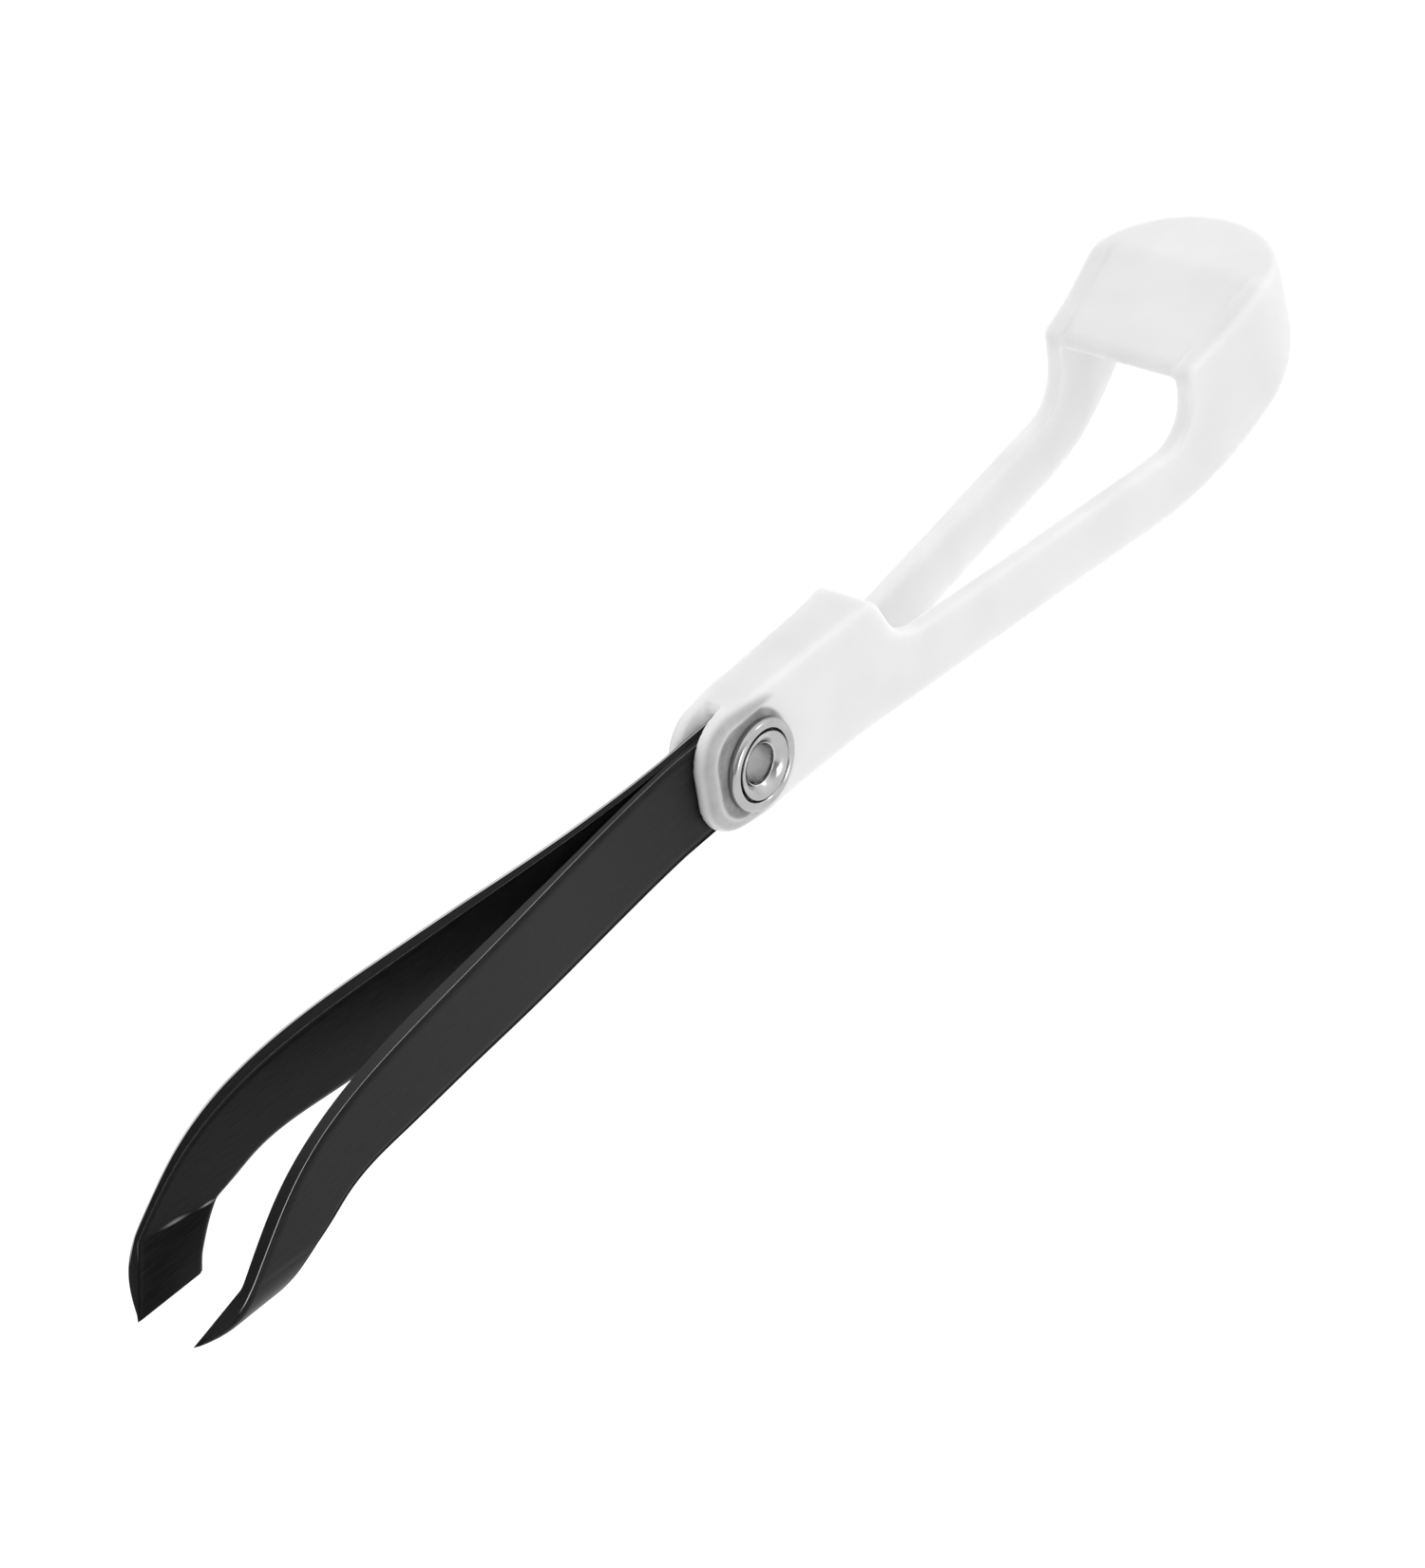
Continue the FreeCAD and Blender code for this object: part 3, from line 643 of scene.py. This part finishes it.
def make_drill(radius):
    """A rod on the rivet's axis."""
    turns = np.linspace(0, 2 * math.pi, DRILL_SIDES, endpoint=False)
    ring = [(radius * math.cos(a), radius * math.sin(a)) for a in turns]
    points = [(x, y, z) for y in (-DRILL_REACH, DRILL_REACH) for x, z in ring]
    count = len(ring)
    faces = [(i, count + i, count + (i + 1) % count, (i + 1) % count) for i in range(count)]
    faces += [tuple(range(count)), tuple(range(count, 2 * count))[::-1]]
    bit = make_object("drill", points, faces)
    bit.data.shade_flat()
    return bit


def close_slits(mesh):
    """Joins points that the cut left in one place, and closes the slits between them."""
    cut = bmesh.new()
    cut.from_mesh(mesh)
    bmesh.ops.remove_doubles(cut, verts=cut.verts, dist=SAME_PLACE)
    bmesh.ops.holes_fill(cut, edges=cut.edges, sides=4)
    cut.to_mesh(mesh)
    cut.free()


def drill(item, radius):
    """Cuts a round hole on the rivet's axis."""
    bit = make_drill(radius)
    modifier = item.modifiers.new("hole", "BOOLEAN")
    modifier.operation = "DIFFERENCE"
    modifier.object = bit
    modifier.solver = "EXACT"
    bpy.context.view_layer.objects.active = item
    bpy.ops.object.modifier_apply(modifier=modifier.name)
    close_slits(item.data)
    mesh = bit.data
    bpy.data.objects.remove(bit)
    bpy.data.meshes.remove(mesh)


# Painted highlights on the strips: their spread over the points round each upper corner, the strength of
# the painted glint in the crease, and its reach in rows.
HIGHLIGHT_SPREAD, GLINT, GLINT_ROWS = 1.6, 0.42, 1.3


def painted_edge_highlight(pasts, crease):
    """How much painted highlight each point gets: bright lines on the upper corners, and a painted glint
    inside the crease.
    """
    spots = np.arange(RING_POINTS)
    highlit = np.zeros(RING_POINTS)
    for first in UPPER_CORNERS:
        middle = first + (CORNER_STEPS - 1) / 2
        highlit = np.maximum(highlit, 1 - np.abs(spots - middle) / HIGHLIGHT_SPREAD)
    values = np.outer(fade(pasts, 0.05, 0.5), np.clip(highlit, 0, 1))
    along = np.linspace(0, 1, FACE_POINTS)
    glint = 0.25 + 0.75 * (hill(along, 0.45, 0.14) + hill(along, 0.92, 0.08))
    near_crease = GLINT * hill(np.arange(len(pasts)), crease + 1, GLINT_ROWS)
    inner = slice(INNER_FIRST, RING_POINTS)
    values[:, inner] = np.maximum(values[:, inner], near_crease[:, None] * glint)
    return values.ravel()


def make_strip(name, side, root, arm):
    """One strip from its root to its tip: side 1 is the far one, and side -1 its mirror image."""
    rows, pasts = strip_rows()
    crease = int((pasts == 0).sum()) - 1
    rings = soften_crease(strip_points(rows, pasts), crease)
    rings[:, :, 1] *= side
    faces = ring_faces(len(rings), RING_POINTS)
    if side > 0:
        faces = [face[::-1] for face in faces]
    strip = make_object(name, rings.reshape(-1, 3), faces)
    # Painted highlights on the upper corners and in the crease.
    mark(strip.data, "painted_edge_highlight", painted_edge_highlight(pasts, crease))
    drill(strip, ROOT_HOLE)
    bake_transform(strip)
    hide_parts(root, arm)
    return strip


# ---------------------------------------------------------------- rivet

FLANGE, FLANGE_HEIGHT, BORE_RADIUS, LIP, BARREL = 2.6, 0.55, 1.15, 1.92, 1.45
SEAT = EAR_FACE + 0.005
HEAD_INNER_BEND, HEAD_OUTER_BEND, FLANGE_STEP = 0.36, 0.32, 0.1
LIP_UNDER, LIP_LOWER, LIP_BEND = 0.24, 0.03, 0.07
FUNNEL_DEPTH, FUNNEL_BOW, FUNNEL_ROWS, BORE_ROWS = 0.42, 1.7, 14, 12
CUP_BEND, CUP_FLOOR, CUP_CLEAR = 0.31, 0.22, 0.03
LATHE_SIDES = 192


def arc(centre, radius, start, end, steps=10):
    """Points on an arc, angles in degrees."""
    angles = np.radians(np.linspace(start, end, steps))
    return [(centre[0] + radius * math.cos(a), centre[1] + radius * math.sin(a)) for a in angles]


def lathe(name, profile, body, node):
    """A turned piece round the rivet's axis from a closed (radius, distance along +Y) profile."""
    turns = np.linspace(0, 2 * math.pi, LATHE_SIDES, endpoint=False)
    size = len(profile)
    points = [(r * math.cos(a), y, r * math.sin(a)) for a in turns for r, y in profile]
    faces = []
    for turn in range(LATHE_SIDES):
        there = (turn + 1) % LATHE_SIDES
        for spot in range(size):
            after = (spot + 1) % size
            faces.append((turn * size + spot, there * size + spot,
                          there * size + after, turn * size + after))
    piece = make_object(name, points, faces)
    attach(piece, body)
    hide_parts(node)
    return piece


def tube_profile():
    """Cut through the eyelet's wall: far head, barrel, near rolled lip, funnel and bore."""
    top, under = SEAT + FLANGE_HEIGHT, -(SEAT + LIP_UNDER)
    lip_top = -(SEAT + FLANGE_HEIGHT - LIP_LOWER)
    head = arc((BORE_RADIUS + HEAD_INNER_BEND, top - HEAD_INNER_BEND), HEAD_INNER_BEND, 180, 90, 10)
    head += arc((FLANGE - HEAD_OUTER_BEND, top - HEAD_OUTER_BEND), HEAD_OUTER_BEND, 90, -20, 14)
    head += [(FLANGE - FLANGE_STEP, SEAT), (BARREL, SEAT)]
    lip = [(BARREL, under), (LIP - 0.04, under)]
    lip += arc((LIP - LIP_BEND, lip_top + LIP_BEND), LIP_BEND, 20, -110, 7)
    width = LIP - 0.1 - BORE_RADIUS
    funnel = [(BORE_RADIUS + width * t, lip_top + 0.03 + FUNNEL_DEPTH * (1 - t) ** FUNNEL_BOW)
              for t in np.linspace(1, 0, FUNNEL_ROWS)[1:]]
    bore = [(BORE_RADIUS, y) for y in np.linspace(under + 0.12, top - 0.4, BORE_ROWS)]
    return head + lip + funnel + bore


def cup_profile():
    """Cut through the domed washer: flat against the ear, round outer edge, and a floor under the lip."""
    floor, top = -(SEAT + CUP_FLOOR), -(SEAT + FLANGE_HEIGHT)
    hole = BARREL + CUP_CLEAR
    disc = [(hole, -SEAT), (FLANGE - FLANGE_STEP, -SEAT), (FLANGE - 0.02, -(SEAT + 0.08))]
    disc += arc((FLANGE - CUP_BEND, top + CUP_BEND), CUP_BEND, 0, -180, 20)
    return disc + [(LIP + CUP_CLEAR, floor), (hole, floor)]


def make_rivet():
    """The eyelet and the washer under its rolled lip."""
    eyelet = lathe("rivet_tube", tube_profile(), "case", "rivet_eyelet")
    spots = np.array([vertex.co for vertex in eyelet.data.vertices]) / MM
    from_axis = np.hypot(spots[:, 0], spots[:, 2])
    # Painted light: the bore is marked for a lighter grey.
    mark(eyelet.data, "painted_bore_light", fade(from_axis, BORE_RADIUS + 0.02, BORE_RADIUS + 0.12))
    washer = lathe("rivet_cup", cup_profile(), "case", "rivet_washer")
    return eyelet, washer


# ---------------------------------------------------------------- materials

EVEN = (1, 1, 1)
CLOUD_GREYS, CLOUD_SCALE, FROST_SCALE = (0.672, 0.700), 260.0, 9000.0
# Greys and noise size of the painted shade, and strength of the painted glow.
SHADE_GREYS, SHADE_SCALE, GLOW = (0.19, 0.27), 1700.0, 0.26
BLACK_GREYS, BRUSH_STRETCH, BRUSH_SCALE = (0.006, 0.011), (0.05, 1, 1), 9000.0
# Grey and patch size of the painted edge highlights on the strips.
HIGHLIGHT_GREY, HIGHLIGHT_SCALE = 0.95, 160.0
# The bore's grey is painted light, lighter than the nickel's.
NICKEL_GREYS, BORE_LIGHT_GREY, HAZE_SCALE = (0.40, 0.47), 0.58, 900.0
FLOOR_GREY = 0.97


def new_material(name):
    """A node material with its nodes, its links and its shader."""
    material = bpy.data.materials.new(name)
    material.use_nodes = True
    nodes, links = material.node_tree.nodes, material.node_tree.links
    return material, nodes, links, nodes["Principled BSDF"]


def add_node(nodes, kind, **values):
    """A node with values set on the sockets or settings of those names."""
    node = nodes.new(kind)
    for key, value in values.items():
        if key in node.inputs:
            node.inputs[key].default_value = value
        else:
            setattr(node, key, value)
    return node


def attribute(nodes, name):
    """The number that mark() wrote on a mesh under that name."""
    node = nodes.new("ShaderNodeAttribute")
    node.attribute_name = name
    return node.outputs["Fac"]


def mix_colours(nodes, links, factor, first, second):
    """A colour between two, each either a colour or the output of a node."""
    mix = nodes.new("ShaderNodeMix")
    mix.data_type = "RGBA"
    links.new(factor, mix.inputs["Factor"])
    for socket, value in ((mix.inputs[6], first), (mix.inputs[7], second)):
        if isinstance(value, tuple):
            socket.default_value = value
        else:
            links.new(value, socket)
    return mix.outputs[2]


def grey(level):
    """An even grey of that brightness."""
    return (level, level, level, 1)


def noise(nodes, links, place, stretch, scale, detail=3.0):
    """Noise in object coordinates, stretched along the axes."""
    size = nodes.new("ShaderNodeMapping")
    size.inputs["Scale"].default_value = stretch
    links.new(place, size.inputs["Vector"])
    texture = add_node(nodes, "ShaderNodeTexNoise", Scale=scale, Detail=detail)
    links.new(size.outputs["Vector"], texture.inputs["Vector"])
    return texture.outputs["Fac"]


def spread(nodes, links, value, low, high, first=0.0, last=1.0):
    """Maps a value from one range to another, held at both ends."""
    node = nodes.new("ShaderNodeMapRange")
    links.new(value, node.inputs["Value"])
    for name, number in (("From Min", low), ("From Max", high), ("To Min", first), ("To Max", last)):
        node.inputs[name].default_value = number
    return node.outputs["Result"]


def tones(nodes, links, texture, greys):
    """A grey that wavers between two levels with a noise texture."""
    return mix_colours(nodes, links, spread(nodes, links, texture, 0.35, 0.65), *map(grey, greys))


def add_bump(nodes, links, shader, height, strength, distance):
    """Fine relief, too small for the mesh."""
    bump = add_node(nodes, "ShaderNodeBump", Strength=strength, Distance=distance)
    links.new(height, bump.inputs["Height"])
    links.new(bump.outputs["Normal"], shader.inputs["Normal"])


def case_material():
    """Frosted white plastic: cloudy, with light spreading inside it, a painted glow from emission, and
    painted grey shade where the roots lie behind the ears.
    """
    material, nodes, links, shader = new_material("frosted_white_plastic")
    shader.inputs["Roughness"].default_value = 0.42
    shader.inputs["IOR"].default_value = 1.46
    shader.inputs["Subsurface Weight"].default_value = 0.85
    shader.inputs["Subsurface Radius"].default_value = (1.0, 1.0, 1.0)
    shader.inputs["Subsurface Scale"].default_value = 0.0012
    # Painted glow: white emission, its strength from the marked amount.
    shader.inputs["Emission Color"].default_value = grey(1)
    place = nodes.new("ShaderNodeTexCoord").outputs["Object"]
    plain = tones(nodes, links, noise(nodes, links, place, EVEN, CLOUD_SCALE, 4.0), CLOUD_GREYS)
    shade = tones(nodes, links, noise(nodes, links, place, EVEN, SHADE_SCALE, 4.0), SHADE_GREYS)
    # Painted shade: the base colour turns grey by the marked amount.
    tone = mix_colours(nodes, links, attribute(nodes, "show_through"), plain, shade)
    links.new(tone, shader.inputs["Base Color"])
    # Painted light: the plastic glows though it is no lamp.
    glow = spread(nodes, links, attribute(nodes, "painted_glow"), 0, 1, 0, GLOW)
    links.new(glow, shader.inputs["Emission Strength"])
    frost = noise(nodes, links, place, EVEN, FROST_SCALE)
    add_bump(nodes, links, shader, frost, 0.12, 0.00002)
    return material


def strip_material():
    """Satin black steel, brushed along the strip, with painted highlights in patches on its upper corners
    and in its crease.
    """
    material, nodes, links, shader = new_material("satin_black_steel")
    shader.inputs["Specular IOR Level"].default_value = 0.10
    place = nodes.new("ShaderNodeTexCoord").outputs["Object"]
    brush = noise(nodes, links, place, BRUSH_STRETCH, BRUSH_SCALE, 4.0)
    black = tones(nodes, links, brush, BLACK_GREYS)
    # Painted highlight: pale grey in patches on the upper corners and in the crease.
    edge_highlight = spread(nodes, links, attribute(nodes, "painted_edge_highlight"), 0.1, 0.9)
    patches = spread(nodes, links, noise(nodes, links, place, EVEN, HIGHLIGHT_SCALE), 0.35, 0.6, 0.6, 1.0)
    amount = add_node(nodes, "ShaderNodeMath", operation="MULTIPLY")
    links.new(edge_highlight, amount.inputs[0])
    links.new(patches, amount.inputs[1])
    tone = mix_colours(nodes, links, amount.outputs[0], black, grey(HIGHLIGHT_GREY))
    links.new(tone, shader.inputs["Base Color"])
    links.new(spread(nodes, links, brush, 0.3, 0.7, 0.34, 0.44), shader.inputs["Roughness"])
    add_bump(nodes, links, shader, brush, 0.1, 0.00001)
    return material


def rivet_material():
    """Polished nickel with a slight haze, and painted light: a lighter grey in the bore, which lies in
    shade.
    """
    material, nodes, links, shader = new_material("polished_nickel")
    shader.inputs["Metallic"].default_value = 1.0
    place = nodes.new("ShaderNodeTexCoord").outputs["Object"]
    haze = noise(nodes, links, place, EVEN, HAZE_SCALE, 4.0)
    tone = tones(nodes, links, haze, NICKEL_GREYS)
    # Painted light: a lighter grey in the bore.
    tone = mix_colours(nodes, links, attribute(nodes, "painted_bore_light"), tone, grey(BORE_LIGHT_GREY))
    links.new(tone, shader.inputs["Base Color"])
    links.new(spread(nodes, links, haze, 0.3, 0.7, 0.14, 0.24), shader.inputs["Roughness"])
    return material


def wear(material, *items):
    """Gives each object this material and no other."""
    for item in items:
        item.data.materials.clear()
        item.data.materials.append(material)


# ---------------------------------------------------------------- surroundings

# Sizes and places in metres, powers in watts.
FLOOR_HALF, FLOOR_DROP = 3.0, 0.08
LIGHTS = {
    "key": ((0.26, -0.25, 0.25), 0.10, 0.10),
    "fill": ((-0.05, -0.5, 0.03), 0.18, 0.36),
}
WORLD_STRENGTH, DARK_SIDE, DARK_RANGE, DARK_GREY = 1.22, (-0.7, -0.7, 0.12), (0.45, 0.9), 0.35


def make_floor():
    """A pale floor some way below the tweezers."""
    height = cad_box[0][2] - FLOOR_DROP
    corners = [(-FLOOR_HALF, -FLOOR_HALF, height), (FLOOR_HALF, -FLOOR_HALF, height),
               (FLOOR_HALF, FLOOR_HALF, height), (-FLOOR_HALF, FLOOR_HALF, height)]
    mesh = bpy.data.meshes.new("floor")
    mesh.from_pydata(corners, [], [(0, 1, 2, 3)])
    floor = bpy.data.objects.new("floor", mesh)
    bpy.context.collection.objects.link(floor)
    material, _, _, shader = new_material("pale_floor")
    shader.inputs["Base Color"].default_value = grey(FLOOR_GREY)
    shader.inputs["Roughness"].default_value = 1.0
    wear(material, floor)


def add_light(name, place, size, power):
    """A soft square light that points at the rivet."""
    data = bpy.data.lights.new(name, "AREA")
    data.size = size
    data.energy = power
    light = bpy.data.objects.new(name, data)
    bpy.context.collection.objects.link(light)
    turn = Vector(place).to_track_quat("Z", "Y")
    light.matrix_world = Matrix.Translation(place) @ turn.to_matrix().to_4x4()


def make_world():
    """An even white studio, with one darker side so that the metal has something to show."""
    world = bpy.data.worlds.new("studio")
    world.use_nodes = True
    nodes, links = world.node_tree.nodes, world.node_tree.links
    background = nodes["Background"]
    direction = nodes.new("ShaderNodeTexCoord").outputs["Generated"]
    dark_side = add_node(nodes, "ShaderNodeVectorMath", operation="DOT_PRODUCT")
    dark_side.inputs[1].default_value = DARK_SIDE
    links.new(direction, dark_side.inputs[0])
    amount = spread(nodes, links, dark_side.outputs["Value"], *DARK_RANGE)
    links.new(mix_colours(nodes, links, amount, grey(1), grey(DARK_GREY)), background.inputs["Color"])
    background.inputs["Strength"].default_value = WORLD_STRENGTH
    bpy.context.scene.world = world


make_camera()
make_floor()
make_world()
for light_name, (light_place, light_size, light_power) in LIGHTS.items():
    add_light(light_name, light_place, light_size, light_power)
bpy.context.scene.view_settings.view_transform = "Standard"

case = make_case()
far_strip = make_strip("far_strip", 1, "far_strip_root", "far_arm")
near_strip = make_strip("near_strip", -1, "near_strip_root", "near_arm")
eyelet, washer = make_rivet()
wear(case_material(), case)
wear(strip_material(), far_strip, near_strip)
wear(rivet_material(), eyelet, washer)
